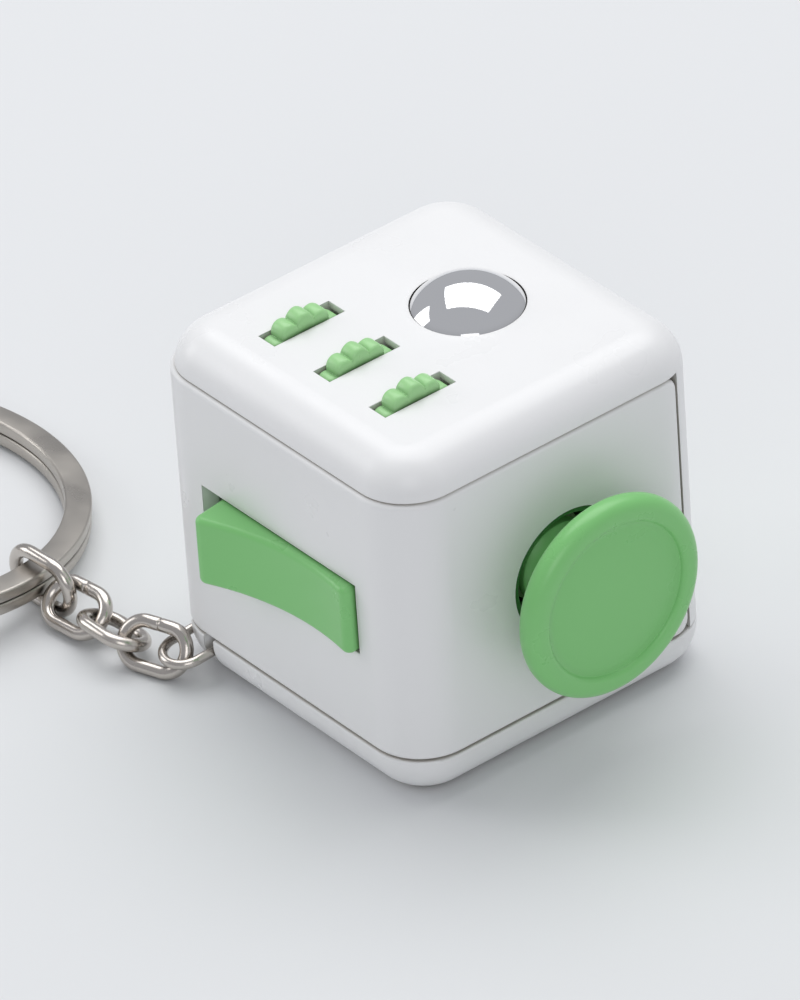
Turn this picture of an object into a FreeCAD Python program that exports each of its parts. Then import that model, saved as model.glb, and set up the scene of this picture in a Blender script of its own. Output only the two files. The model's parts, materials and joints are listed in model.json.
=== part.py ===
import FreeCAD, Part
import math
import os
import re
import Sketcher

# Fidget cube on a key chain, in millimetres, +Z up.
# The origin is the centre of the cube's flat underside.  +X carries the joystick, -Y the rocker,
# +Z the wheels and the ball, -X the push buttons and +Y the dial.  The key chain leaves the lower
# corner between -X and -Y.

Vector = FreeCAD.Vector
X_AXIS = Vector(1, 0, 0)
Y_AXIS = Vector(0, 1, 0)
Z_AXIS = Vector(0, 0, 1)
ORIGIN = ("0", "0", "0")

DRIVING = {
    # shells
    "cube_side": 25.0,
    "cube_height": 25.2,
    "wall": 1.3,
    "plan_radius": 3.75,
    "pillow_radius": 2.8,
    "seam_top_z": 22.6,
    "seam_base_z": 3.15,
    "seam_side_y": 10.15,
    "seam_gap": 0.1,
    "seam_corner": 1.0,
    "rim_radius": 0.35,
    "rim_step": 0.2,
    "edge_break": 0.12,
    "lip_depth": 1.1,
    "lip_thickness": 0.8,
    "play": 0.05,
    # thumb dish under the cube
    "dish_radius": 16.0,
    "dish_depth": 1.5,
    "dish_pad_radius": 7.8,
    # fasteners
    "screw_radius": 0.45,
    "screw_head_radius": 0.8,
    "screw_head_height": 0.5,
    "screw_length": 2.4,
    "post_radius": 0.95,
    # thumb wheels
    "wheel_pitch": 5.47,
    "wheel_row_y": -5.5,
    "axle_z": 23.2,
    "axle_radius": 0.5,
    "axle_reach": 7.35,
    "wheel_thickness": 1.35,
    "wheel_root_radius": 2.62,
    "lobe_orbit": 2.43,
    "lobe_radius": 0.72,
    "lobe_count": 12,
    "hub_radius": 1.05,
    "hub_length": 2.3,
    "running_play": 0.06,
    "slot_width": 1.62,
    "slot_front_y": -8.12,
    "slot_back_y": -2.52,
    "bracket_floor_z": 18.6,
    "bracket_plate": 0.8,
    "cheek_x": 6.75,
    # ball
    "ball_radius": 4.72,
    "ball_y": 3.62,
    "ball_z": 22.2,
    "ball_play": 0.07,
    "seat_radius": 4.3,
    "guide_radius": 4.85,
    "guide_floor_z": 13.7,
    "guide_top_z": 19.4,
    "guide_ear_x": 6.55,
    # joystick
    "stick_y": 0.68,
    "stick_z": 12.5,
    "stick_pivot_x": 9.2,
    "stick_hole_radius": 4.45,
    "stick_cap_radius": 6.95,
    "stick_cap_x": 15.36,
    "stick_cap_thickness": 1.8,
    "stick_rim_width": 1.6,
    "stick_recess": 0.5,
    "stick_stem_radius": 1.3,
    "stick_ball_radius": 1.9,
    "stick_pin_radius": 0.4,
    "gimbal_outer": 3.15,
    "gimbal_inner": 2.1,
    "gimbal_thickness": 1.3,
    "stick_base": 1.45,
    "dome_radius": 3.75,
    # rocker
    "rocker_z": 12.7,
    "rocker_pivot_y": -6.4,
    "rocker_half_length": 6.6,
    "rocker_reach": 8.05,
    "rocker_height": 5.0,
    "rocker_hollow": 1.12,
    "rocker_tilt": 8.0,
    "rocker_pin_radius": 0.6,
    "rocker_slot_half": 7.65,
    "rocker_slot_height": 5.2,
    # push buttons
    "button_radius": 1.75,
    "button_hole_radius": 1.9,
    "button_flange_radius": 2.3,
    "button_proud": 1.2,
    "button_travel": 0.9,
    "button_spread": 5.0,
    "button_row_z": 12.6,
    "button_plate_x": -8.6,
    "button_plate_thickness": 0.7,
    # dial
    "dial_z": 12.6,
    "dial_radius": 5.45,
    "dial_hole_radius": 5.6,
    "dial_proud": 0.8,
    "dial_hub_radius": 1.6,
    # key chain
    "loop_wire": 0.32,
    "loop_half_width": 1.45,
    "loop_heading": 84.0,
    "loop_pivot_out": 1.5,
    "loop_shift": 0.6,
    "loop_pivot_z": 2.3,
    "loop_reach": 3.14,
    "loop_droop": 8.5,
    "link_wire": 0.46,
    "link_end_radius": 1.45,
    "link_straight": 1.76,
    "end_link_end_radius": 1.75,
    "ring_radius": 15.2,
    "ring_width": 1.75,
    "ring_height": 1.8,
    "ring_groove": 0.18,
    "ring_tilt": 7.0,
}

doc = FreeCAD.newDocument("FidgetCube")
sheet = doc.addObject("Spreadsheet::Sheet", "dims")
for row, (alias, value) in enumerate(DRIVING.items(), start=1):
    sheet.set("A%d" % row, alias)
    sheet.set("B%d" % row, str(value))
    sheet.setAlias("B%d" % row, alias)
doc.recompute()

POINTS_PER_TURN = 16
ALIAS_WORD = re.compile(r"\b(" + "|".join(DRIVING) + r")\b")
NODES = []


# ---------------------------------------------------------------- helpers

def formula(text):
    """an expression in which every spreadsheet alias is addressed through the sheet"""
    return ALIAS_WORD.sub(r"dims.\1", text)


def value(text):
    """the number that a formula gives"""
    return float(sheet.evalExpression(text))


def bind(obj, **formulas):
    """bind properties; a double underscore in the keyword stands for a dot"""
    for prop, text in formulas.items():
        obj.setExpression(prop.replace("__", "."), formula(text))


def put(obj, at, along=Z_AXIS):
    """place an object: its own Z turns to 'along' and its base goes to the three formulas"""
    obj.Placement = FreeCAD.Placement(Vector(), FreeCAD.Rotation(Z_AXIS, along))
    bind(obj, Placement__Base__x=at[0], Placement__Base__y=at[1], Placement__Base__z=at[2])
    return obj


def cylinder(radius, height, at, along=Z_AXIS):
    obj = doc.addObject("Part::Cylinder", "Cylinder")
    bind(obj, Radius=radius, Height=height)
    return put(obj, at, along)


def sphere(radius, at):
    obj = doc.addObject("Part::Sphere", "Sphere")
    bind(obj, Radius=radius)
    return put(obj, at)


def block(low, high):
    """box between two corners given as formulas"""
    obj = doc.addObject("Part::Box", "Box")
    size = ["(%s) - (%s)" % (b, a) for a, b in zip(low, high)]
    bind(obj, Length=size[0], Width=size[1], Height=size[2])
    return put(obj, low)


def join(*shapes):
    obj = doc.addObject("Part::MultiFuse", "Fusion")
    obj.Shapes = list(shapes)
    return obj


def cut(base, *tools):
    obj = doc.addObject("Part::Cut", "Cut")
    obj.Base = base
    obj.Tool = tools[0] if len(tools) == 1 else join(*tools)
    return obj


def common(base, tool):
    obj = doc.addObject("Part::Common", "Common")
    obj.Base = base
    obj.Tool = tool
    return obj


def rounded(base, radius, pick):
    """fillet the edges of 'base' for which pick(edge) is true"""
    doc.recompute()
    obj = doc.addObject("Part::Fillet", "Fillet")
    obj.Base = base
    size = value(radius)
    obj.Edges = [(i, size, size) for i, edge in enumerate(base.Shape.Edges, start=1) if pick(edge)]
    return obj


def node(obj, name):
    """mark a finished sub-part: its label names its file"""
    obj.Label = name
    NODES.append(obj)
    return obj


def several(name, solids):
    """one node of several separate solids"""
    obj = doc.addObject("Part::Compound", "Group")
    obj.Links = solids
    return node(obj, name)


def origin_plane(body, role):
    """one of a body's own planes or axes"""
    return [feature for feature in body.Origin.OriginFeatures if feature.Role == role][0]


def new_sketch(body, role):
    sketch = body.newObject("Sketcher::SketchObject", "Sketch")
    sketch.AttachmentSupport = (origin_plane(body, role), "")
    sketch.MapMode = "FlatFace"
    return sketch


def fix(sketch, kind, geometry, position, text):
    """distance of a sketch point from the origin, bound to a formula"""
    constraint = Sketcher.Constraint(kind, -1, 1, geometry, position, value(text))
    index = sketch.addConstraint(constraint)
    sketch.setExpression("Constraints[%d]" % index, formula(text))


def sketch_outline(body, role, points):
    """closed straight-sided outline; every corner is tied to a pair of formulas"""
    sketch = new_sketch(body, role)
    corners = [Vector(value(x), value(y), 0) for x, y in points]
    count = len(corners)
    for i in range(count):
        sketch.addGeometry(Part.LineSegment(corners[i], corners[(i + 1) % count]))
    for i in range(count):
        sketch.addConstraint(Sketcher.Constraint("Coincident", i, 2, (i + 1) % count, 1))
    for i, (x, y) in enumerate(points):
        fix(sketch, "DistanceX", i, 1, x)
        fix(sketch, "DistanceY", i, 1, y)
    return sketch


def sketch_circle(body, role, radius, centre=("0", "0")):
    sketch = new_sketch(body, role)
    middle = Vector(value(centre[0]), value(centre[1]), 0)
    sketch.addGeometry(Part.Circle(middle, Z_AXIS, value(radius)))
    fix(sketch, "DistanceX", 0, 3, centre[0])
    fix(sketch, "DistanceY", 0, 3, centre[1])
    index = sketch.addConstraint(Sketcher.Constraint("Radius", 0, value(radius)))
    sketch.setExpression("Constraints[%d]" % index, formula(radius))
    return sketch


def feature(body, kind, profile, **formulas):
    obj = body.newObject("PartDesign::" + kind, kind)
    obj.Profile = profile
    bind(obj, **formulas)
    return obj


def body_rounded(body, radius, pick):
    """fillet picked edges of a body's current shape"""
    doc.recompute()
    base = body.Tip
    names = ["Edge%d" % i for i, edge in enumerate(base.Shape.Edges, start=1) if pick(edge)]
    obj = body.newObject("PartDesign::Fillet", "Fillet")
    obj.Base = (base, names)
    bind(obj, Radius=radius)
    body.Tip = obj


def turned(name, outline, at=ORIGIN, along=Z_AXIS, rounds=()):
    """lathe-turned sub-part: (radius, height) corners about its own Z axis"""
    body = doc.addObject("PartDesign::Body", "Body")
    profile = sketch_outline(body, "XZ_Plane", outline)
    turn = feature(body, "Revolution", profile)
    turn.ReferenceAxis = (profile, ["V_Axis"])
    turn.Angle = 360
    for radius, pick in rounds:
        body_rounded(body, radius, pick)
    put(body, at, along)
    return node(body, name) if name else body


def circle_at(radius, height):
    """pick the full circle of this radius at this height on a turned body"""
    def pick(edge):
        curve = edge.Curve
        if not isinstance(curve, Part.Circle):
            return False
        on_size = abs(curve.Radius - value(radius)) < 0.01
        return on_size and abs(curve.Center.z - value(height)) < 0.01
    return pick


def is_upright(edge):
    first, last = edge.Vertexes[0].Point, edge.Vertexes[-1].Point
    return abs(first.x - last.x) + abs(first.y - last.y) < 1e-6 and abs(first.z - last.z) > 1e-3


def lies_at_z(edge, heights):
    return all(any(abs(v.Point.z - z) < 1e-4 for z in heights) for v in edge.Vertexes) and not is_upright(edge)


# ---------------------------------------------------------------- shells

HALF = "(cube_side / 2)"
INNER = "(cube_side / 2 - wall)"
CEILING = "(cube_height - wall)"


def rounded_block(low, high, plan_radius, pillow_radius):
    """box with rounded upright edges and then rounded top and bottom edges"""
    upright = rounded(block(low, high), plan_radius, is_upright)
    ends = (value(low[2]), value(high[2]))
    return rounded(upright, pillow_radius, lambda edge: lies_at_z(edge, ends))


def cavity(inset):
    """the hollow inside the shells, 'inset' deep under the outer surface"""
    low = ("-cube_side / 2 + (%s)" % inset, "-cube_side / 2 + (%s)" % inset, inset)
    high = ("cube_side / 2 - (%s)" % inset, "cube_side / 2 - (%s)" % inset, "cube_height - (%s)" % inset)
    return rounded_block(low, high, "plan_radius - (%s)" % inset, "pillow_radius - (%s)" % inset)


def upright_core(inset, low_z, high_z):
    """upright column with the shells' plan outline, 'inset' inside it"""
    column = block(("-cube_side / 2 + (%s)" % inset, "-cube_side / 2 + (%s)" % inset, low_z),
                   ("cube_side / 2 - (%s)" % inset, "cube_side / 2 - (%s)" % inset, high_z))
    return rounded(column, "plan_radius - (%s)" % inset, is_upright)


def upright_ring(inset, low_z, high_z):
    """thin upright wall that follows the inside of the shells"""
    inner = upright_core("%s + lip_thickness" % inset, "%s - 1" % low_z, "%s + 1" % high_z)
    return cut(upright_core(inset, low_z, high_z), inner)


def post(x, y, z, height, along):
    """screw post standing in from a shell, with its blind pilot hole"""
    return cylinder("post_radius", height, (x, y, z), along)


def wrap_shell():
    """three walls in one moulding: -X, -Y and +X"""
    outer = rounded_block(("-%s" % HALF, "-%s" % HALF, "0"), (HALF, HALF, "cube_height"),
                          "plan_radius", "pillow_radius")
    window = block(("-cube_side", "-cube_side", "seam_base_z + seam_gap"),
                   ("cube_side", "seam_side_y", "seam_top_z"))
    side_y = value("seam_side_y")
    window = rounded(window, "seam_corner",
                     lambda e: all(abs(v.Point.y - side_y) < 1e-4 for v in e.Vertexes) and e.BoundBox.XLength > 1)
    walls = common(outer, window)
    top = value("seam_top_z")
    walls = rounded(walls, "rim_radius",
                    lambda e: lies_at_z(e, (top,)) and e.CenterOfMass.y < side_y - 1.2)
    hollow = cut(walls, cavity("wall"))
    stick_hole = cylinder("stick_hole_radius", "2 * wall", ("%s - 1.5 * wall" % HALF, "stick_y", "stick_z"), X_AXIS)
    rocker_slot = block(("-rocker_slot_half", "-cube_side / 2 - wall", "rocker_z - rocker_slot_height / 2"),
                        ("rocker_slot_half", "-cube_side / 2 + 2 * wall", "rocker_z + rocker_slot_height / 2"))
    button_holes = [cylinder("button_hole_radius", "3 * wall", ("-%s - wall" % HALF, y, z), X_AXIS)
                    for y, z in BUTTON_PLACES.values()]
    posts = [post("-%s - 0.4" % INNER, y, z, "%s + 0.4 + button_plate_x" % INNER, X_AXIS) for y, z in BUTTON_POSTS]
    posts += [post(x, "-%s - 0.4" % INNER, z, "1.8", Y_AXIS) for x, z in ROCKER_POSTS]
    posts += [post("stick_pivot_x - stick_base", y, z, "%s + 1.6 - stick_pivot_x" % INNER, X_AXIS) for y, z in STICK_POSTS]
    shell = cut(join(hollow, *posts), stick_hole, rocker_slot, *button_holes, *screw_bores("wrap"))
    return node(shell, "wrap_shell")


def cover_shell():
    """top and +Y wall in one L-shaped moulding"""
    outer = rounded_block(("-cube_side / 2 + rim_step", "-cube_side / 2 + rim_step", "0"),
                          (HALF, HALF, "cube_height"), "plan_radius", "pillow_radius")
    upper = block(("-cube_side", "-cube_side", "seam_top_z + seam_gap"), ("cube_side", "cube_side", "cube_side * 2"))
    rear = block(("-cube_side", "seam_side_y + seam_gap", "seam_base_z + seam_gap"),
                 ("cube_side", "cube_side", "cube_side"))
    skin = cut(common(outer, join(upper, rear)), cavity("wall"))
    lip = join(upright_ring("wall - 0.2", "seam_top_z + seam_gap", "seam_top_z + 0.9"),
               upright_ring("wall + play", "seam_top_z - lip_depth", "seam_top_z + 0.4"))
    lip = common(lip, block(("-cube_side", "-cube_side", "0"), ("cube_side", "seam_side_y - 1", "cube_side")))
    wheel_cuts = []
    for x in WHEEL_X.values():
        wheel_cuts.append(block(("%s - slot_width / 2" % x, "slot_front_y", "%s - 1" % CEILING),
                                ("%s + slot_width / 2" % x, "slot_back_y", "cube_height + 1")))
        wheel_cuts.append(cylinder("lobe_orbit + lobe_radius + 0.2", "slot_width",
                                   ("%s - slot_width / 2" % x, "wheel_row_y", "axle_z"), X_AXIS))
    wheel_cuts.append(cylinder("hub_radius + 0.15", "2 * cheek_x", ("-cheek_x", "wheel_row_y", "axle_z"), X_AXIS))
    ball_hole = sphere("ball_radius + ball_play", ("0", "ball_y", "ball_z"))
    dial_hole = cylinder("dial_hole_radius", "3 * wall", ("0", "%s - wall" % INNER, "dial_z"), Y_AXIS)
    bracket_posts = [post(x, y, "bracket_floor_z + bracket_plate", "%s + 0.4 - bracket_floor_z - bracket_plate" % CEILING,
                          Z_AXIS) for x, y in BRACKET_POSTS]
    guide_posts = [post(x, y, "guide_top_z", "%s + 0.4 - guide_top_z" % CEILING, Z_AXIS) for x, y in GUIDE_POSTS]
    dial_posts = [post(x, "10.2", z, "%s + 0.4 - 10.2" % INNER, Y_AXIS) for x, z in DIAL_POSTS]
    shell = cut(join(skin, lip, *bracket_posts, *guide_posts, *dial_posts), ball_hole, dial_hole, *wheel_cuts,
                *screw_bores("cover"))
    return node(shell, "cover_shell")


def base_plate():
    """underside moulding with the thumb dish and the key loop's corner block"""
    outer = rounded_block(("-%s" % HALF, "-%s" % HALF, "0"), (HALF, HALF, "cube_height"),
                          "plan_radius", "pillow_radius")
    lower = common(outer, block(("-cube_side", "-cube_side", "-1"), ("cube_side", "cube_side", "seam_base_z")))
    base_z = value("seam_base_z")
    lower = rounded(lower, "edge_break", lambda e: lies_at_z(e, (base_z,)))
    tray = cut(lower, cavity("wall"))
    lip = join(upright_ring("wall - 0.2", "seam_base_z - 0.9", "seam_base_z"),
               upright_ring("wall + play", "seam_base_z - 0.4", "seam_base_z + lip_depth"))
    pad = cylinder("dish_pad_radius", "wall + dish_depth - 0.4", ("0", "0", "0.4"))
    corner = loop_block()
    dish = sphere("dish_radius", ("0", "0", "dish_depth - dish_radius"))
    shell = cut(join(tray, cut(lip, lip_relief()), pad, corner), dish, *loop_cuts())
    return node(shell, "base_plate")


# ---------------------------------------------------------------- key loop at the corner

def corner_place(out, across, z):
    """formulas for a point given along the loop's heading, across it, and in height"""
    across = "(%s) - loop_shift" % across
    x = "-(cube_side / 2 - plan_radius) - (%s) * cos(loop_heading * 1 deg) + (%s) * sin(loop_heading * 1 deg)"
    y = "-(cube_side / 2 - plan_radius) - (%s) * sin(loop_heading * 1 deg) - (%s) * cos(loop_heading * 1 deg)"
    return (x % (out, across), y % (out, across), z)


def loop_turn(droop):
    """rotation whose X points along the loop, falling by 'droop' degrees, and whose Y points across"""
    heading = 180 + value("loop_heading")
    return FreeCAD.Rotation(Z_AXIS, heading).multiply(FreeCAD.Rotation(Y_AXIS, droop))


def loop_block():
    """solid block in the base plate's corner in which the loop's ends turn"""
    obj = doc.addObject("Part::Box", "LoopBlock")
    bind(obj, Length="3.0", Width="2 * loop_half_width + 4.4", Height="seam_base_z - wall + 0.3")
    obj.Placement = FreeCAD.Placement(Vector(), loop_turn(0))
    at = corner_place("-1", "-loop_half_width - 2.2", "wall - 0.4")
    bind(obj, Placement__Base__x=at[0], Placement__Base__y=at[1], Placement__Base__z=at[2])
    return common(obj, upright_core("0.6", "0", "cube_side"))


def lip_relief():
    """gap in the base plate's lip over the loop's block"""
    return cylinder("4.6", "4", ("-(cube_side / 2 - plan_radius)", "-(cube_side / 2 - plan_radius)", "seam_base_z - 0.2"))


def loop_cuts():
    """bores for the loop's turned-out ends and the two slots that its legs swing in"""
    cuts = []
    for side in (1, -1):
        slot = doc.addObject("Part::Box", "LegSlot")
        bind(slot, Length="5", Width="2 * loop_wire + 0.3", Height="seam_base_z + 0.5 - 0.72")
        slot.Placement = FreeCAD.Placement(Vector(), loop_turn(0))
        at = corner_place("loop_pivot_out - loop_wire - 0.2",
                          "%d * loop_half_width - loop_wire - 0.15" % side, "0.72")
        bind(slot, Placement__Base__x=at[0], Placement__Base__y=at[1], Placement__Base__z=at[2])
        cuts.append(slot)
    bore = doc.addObject("Part::Cylinder", "LoopBore")
    bind(bore, Radius="loop_wire + play", Height="2 * loop_half_width + 1.6")
    turn = loop_turn(0).multiply(FreeCAD.Rotation(Z_AXIS, Y_AXIS))
    bore.Placement = FreeCAD.Placement(Vector(), turn)
    at = corner_place("loop_pivot_out", "-loop_half_width - 0.8", "loop_pivot_z")
    bind(bore, Placement__Base__x=at[0], Placement__Base__y=at[1], Placement__Base__z=at[2])
    cuts.append(bore)
    return cuts


# ---------------------------------------------------------------- places that repeat

WHEEL_X = {"left": "-wheel_pitch", "middle": "0", "right": "wheel_pitch"}
BUTTON_PLACES = {
    "centre": ("0", "button_row_z"),
    "upper_front": ("-button_spread", "button_row_z + button_spread"),
    "upper_rear": ("button_spread", "button_row_z + button_spread"),
    "lower_front": ("-button_spread", "button_row_z - button_spread"),
    "lower_rear": ("button_spread", "button_row_z - button_spread"),
}
BUTTON_POSTS = [("0", "button_row_z + button_spread"), ("0", "button_row_z - button_spread")]
ROCKER_POSTS = [("-9.2", "rocker_z"), ("9.2", "rocker_z")]
STICK_POSTS = [("stick_y - 6.2", "stick_z"), ("stick_y + 6.2", "stick_z")]
BRACKET_POSTS = [("-wheel_pitch / 2", "-9.4"), ("wheel_pitch / 2", "-9.4")]
GUIDE_POSTS = [("-guide_ear_x", "ball_y"), ("guide_ear_x", "ball_y")]
DIAL_POSTS = [("-7.2", "dial_z"), ("7.2", "dial_z")]
PLATE = "bracket_plate"

# each screw: where its head bears, and the way its shank points
SCREWS = {
    "wrap": [((x, "-9.8 + %s" % PLATE, z), -Y_AXIS) for x, z in ROCKER_POSTS]
            + [(("stick_pivot_x - stick_base - %s" % PLATE, y, z), X_AXIS) for y, z in STICK_POSTS]
            + [(("button_plate_x + button_plate_thickness", y, z), -X_AXIS) for y, z in BUTTON_POSTS],
    "cover": [((x, y, "bracket_floor_z"), Z_AXIS) for x, y in BRACKET_POSTS]
             + [((x, y, "guide_top_z - %s" % PLATE), Z_AXIS) for x, y in GUIDE_POSTS]
             + [((x, "9.5", z), Y_AXIS) for x, z in DIAL_POSTS],
}


# ---------------------------------------------------------------- screws

def screw_bores(shell):
    return [cylinder("screw_radius", "screw_length", at, way) for at, way in SCREWS[shell]]


def clearance_bores(shell, count_from, count_to):
    """through holes for some of a shell's screws, in the plate that they hold"""
    places = SCREWS[shell][count_from:count_to]
    return [cylinder("screw_radius + play", "screw_length", at, way) for at, way in places]


def module_screws():
    solids = []
    for at, way in SCREWS["wrap"] + SCREWS["cover"]:
        solids.append(join(cylinder("screw_radius", "screw_length", at, way),
                           cylinder("screw_head_radius", "screw_head_height", at, -way)))
    return several("module_screws", solids)


# ---------------------------------------------------------------- thumb wheels

def thumb_wheel(name, x):
    """lobed wheel that turns on the axle"""
    body = doc.addObject("PartDesign::Body", "Body")
    feature(body, "Pad", sketch_circle(body, "XY_Plane", "wheel_root_radius"),
            Length="wheel_thickness").Midplane = True
    lobe = feature(body, "Pad", sketch_circle(body, "XY_Plane", "lobe_radius", ("lobe_orbit", "0")),
                   Length="wheel_thickness")
    lobe.Midplane = True
    ring = body.newObject("PartDesign::PolarPattern", "Lobes")
    ring.Originals = [lobe]
    ring.Axis = (origin_plane(body, "Z_Axis"), [""])
    ring.Angle = 360
    ring.Occurrences = int(value("lobe_count"))
    body.Tip = ring
    feature(body, "Pad", sketch_circle(body, "XY_Plane", "hub_radius"), Length="hub_length").Midplane = True
    bore = feature(body, "Pocket", sketch_circle(body, "XY_Plane", "axle_radius + running_play"),
                   Length="hub_length + 2")
    bore.Midplane = True
    put(body, (x, "wheel_row_y", "axle_z"), X_AXIS)
    return node(body, name)


def wheel_axle():
    body = doc.addObject("PartDesign::Body", "Body")
    pad = feature(body, "Pad", sketch_circle(body, "XY_Plane", "axle_radius"), Length="2 * axle_reach")
    pad.Midplane = True
    body_rounded(body, "0.15", lambda edge: isinstance(edge.Curve, Part.Circle))
    put(body, ("0", "wheel_row_y", "axle_z"), X_AXIS)
    return node(body, "wheel_axle")


def wheel_spacers():
    """two sleeves on the axle that keep the wheels under their slots"""
    length = "wheel_pitch - hub_length - 0.1"
    sleeves = []
    for side in (-1, 1):
        start = ("%d * wheel_pitch / 2 - (%s) / 2" % (side, length), "wheel_row_y", "axle_z")
        sleeves.append(cut(cylinder("axle_radius + 0.4", length, start, X_AXIS),
                           cylinder("axle_radius + play / 5", length, start, X_AXIS)))
    return several("wheel_spacers", sleeves)


def axle_bracket():
    """plate with two cheeks that hold the axle's ends under the cover"""
    top = "bracket_floor_z + bracket_plate"
    plate = block(("-cheek_x - 0.7", "wheel_row_y - 3.2", "bracket_floor_z"), ("cheek_x + 0.7", "wheel_row_y + 3.1", top))
    ear = block(("-wheel_pitch / 2 - 1.1", "-10.3", "bracket_floor_z"), ("wheel_pitch / 2 + 1.1", "wheel_row_y", top))
    cheeks = []
    for side in (-1, 1):
        cheeks.append(block(("%d * (cheek_x + 0.35) - 0.35" % side, "wheel_row_y - 1.3", "bracket_floor_z"),
                            ("%d * (cheek_x + 0.35) + 0.35" % side, "wheel_row_y + 1.3", CEILING)))
    axle_bore = cylinder("axle_radius", "2 * axle_reach", ("-axle_reach", "wheel_row_y", "axle_z"), X_AXIS)
    bracket = cut(join(plate, ear, *cheeks), axle_bore, *clearance_bores("cover", 0, 2))
    return node(bracket, "axle_bracket")


def wheel_click_spring():
    """steel strip with a ridge under each wheel"""
    top = "bracket_floor_z + bracket_plate"
    strip = block(("-cheek_x + 0.2", "wheel_row_y - 2.4", top), ("cheek_x - 0.2", "wheel_row_y + 2.4", "%s + 0.15" % top))
    ridges = [cylinder("0.4", "wheel_thickness", ("%s - wheel_thickness / 2" % x, "wheel_row_y", "%s + 0.05" % top), X_AXIS)
              for x in WHEEL_X.values()]
    below = block(("-cheek_x", "wheel_row_y - 2", "bracket_floor_z - 1"), ("cheek_x", "wheel_row_y + 2", top))
    return node(cut(join(strip, *ridges), below), "wheel_click_spring")


# ---------------------------------------------------------------- ball

def roll_ball():
    ball = sphere("ball_radius", ("0", "ball_y", "ball_z"))
    return node(ball, "roll_ball")


def ball_seat():
    """cup that the ball rolls in; it slides down in the guide when the ball is pressed"""
    cup = cylinder("seat_radius", "ball_z - 3.0 - (guide_floor_z + 3.1)", ("0", "ball_y", "guide_floor_z + 3.1"))
    foot = cylinder("1.2", "0.6", ("0", "ball_y", "guide_floor_z + 2.6"))
    return node(cut(join(cup, foot), sphere("ball_radius + ball_play", ("0", "ball_y", "ball_z"))), "ball_seat")


def coil(name, mean_radius, wire, low, length, turns, along=Z_AXIS):
    """compression spring: a wire swept along a smooth curve through points on a helix"""
    radius = value(mean_radius)
    thickness = value(wire)
    steps = POINTS_PER_TURN * turns
    rise = (value(length) - 2 * thickness) / steps
    points = []
    for step in range(steps + 1):
        angle = 2 * math.pi * step / POINTS_PER_TURN
        points.append(Vector(radius * math.cos(angle), radius * math.sin(angle), rise * step))
    curve = Part.BSplineCurve()
    curve.interpolate(points)
    section = Part.Wire(Part.makeCircle(thickness, points[0], curve.tangent(curve.FirstParameter)[0]))
    spring = doc.addObject("Part::Feature", "Spring")
    spring.Shape = Part.Wire(curve.toShape()).makePipeShell([section], True, True)
    spring.Placement = FreeCAD.Placement(Vector(), FreeCAD.Rotation(Z_AXIS, along))
    start = [value(text) for text in low]
    spring.Placement.Base = Vector(*start) + along * thickness
    return node(spring, name)


def ball_spring():
    return coil("ball_spring", "1.6", "0.2", ("0", "ball_y", "guide_floor_z + bracket_plate"), "2.3", 3)


def ball_guide():
    """cup fixed under the cover, in which the ball's seat slides"""
    outer = cylinder("guide_radius", "guide_top_z - guide_floor_z", ("0", "ball_y", "guide_floor_z"))
    inner = cylinder("seat_radius + 0.08", "cube_height", ("0", "ball_y", "guide_floor_z + bracket_plate"))
    ears = [cylinder("post_radius + 0.1", PLATE, (x, y, "guide_top_z - %s" % PLATE)) for x, y in GUIDE_POSTS]
    bridge = block(("-guide_ear_x", "ball_y - 1", "guide_top_z - %s" % PLATE), ("guide_ear_x", "ball_y + 1", "guide_top_z"))
    guide = cut(join(outer, bridge, *ears), inner, *clearance_bores("cover", 2, 4))
    return node(guide, "ball_guide")


# ---------------------------------------------------------------- joystick

STICK_AXIS_POINT = ("0", "stick_y", "stick_z")


def joystick_socket():
    """round green bowl set into the +X wall, with the gimbal's bearings at its root"""
    outline = [
        ("3.4", "stick_pivot_x - stick_base"), ("5.05", "stick_pivot_x - stick_base"), ("5.05", "%s - 0.05" % INNER),
        ("stick_hole_radius - play", "%s - 0.05" % INNER), ("stick_hole_radius - play", "%s - 0.3" % HALF),
        ("3.95", "%s - 0.3" % HALF), ("3.95", "stick_pivot_x + 1.2"), ("3.4", "stick_pivot_x + 0.6"),
    ]
    bowl = turned(None, outline, STICK_AXIS_POINT, X_AXIS)
    bearings = cylinder("stick_pin_radius + play", "10.2", ("stick_pivot_x", "stick_y - 5.1", "stick_z"), Y_AXIS)
    return node(cut(bowl, bearings), "joystick_socket")


def joystick_gimbal():
    """ring between socket and stick: its own pins lie along Y, the stick's pin along Z"""
    ring = cut(cylinder("gimbal_outer", "gimbal_thickness",
                        ("stick_pivot_x - gimbal_thickness / 2", "stick_y", "stick_z"), X_AXIS),
               cylinder("gimbal_inner", "gimbal_thickness",
                        ("stick_pivot_x - gimbal_thickness / 2", "stick_y", "stick_z"), X_AXIS))
    pins = [cylinder("stick_pin_radius", "4.6 - gimbal_inner - 0.2",
                     ("stick_pivot_x", "stick_y + gimbal_inner + 0.2", "stick_z"), Y_AXIS),
            cylinder("stick_pin_radius", "4.6 - gimbal_inner - 0.2",
                     ("stick_pivot_x", "stick_y - gimbal_inner - 0.2", "stick_z"), -Y_AXIS)]
    bearings = cylinder("stick_pin_radius + play", "2 * gimbal_outer + 1",
                        ("stick_pivot_x", "stick_y", "stick_z - gimbal_outer - 0.5"), Z_AXIS)
    return node(cut(join(ring, *pins), bearings), "joystick_gimbal")


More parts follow.
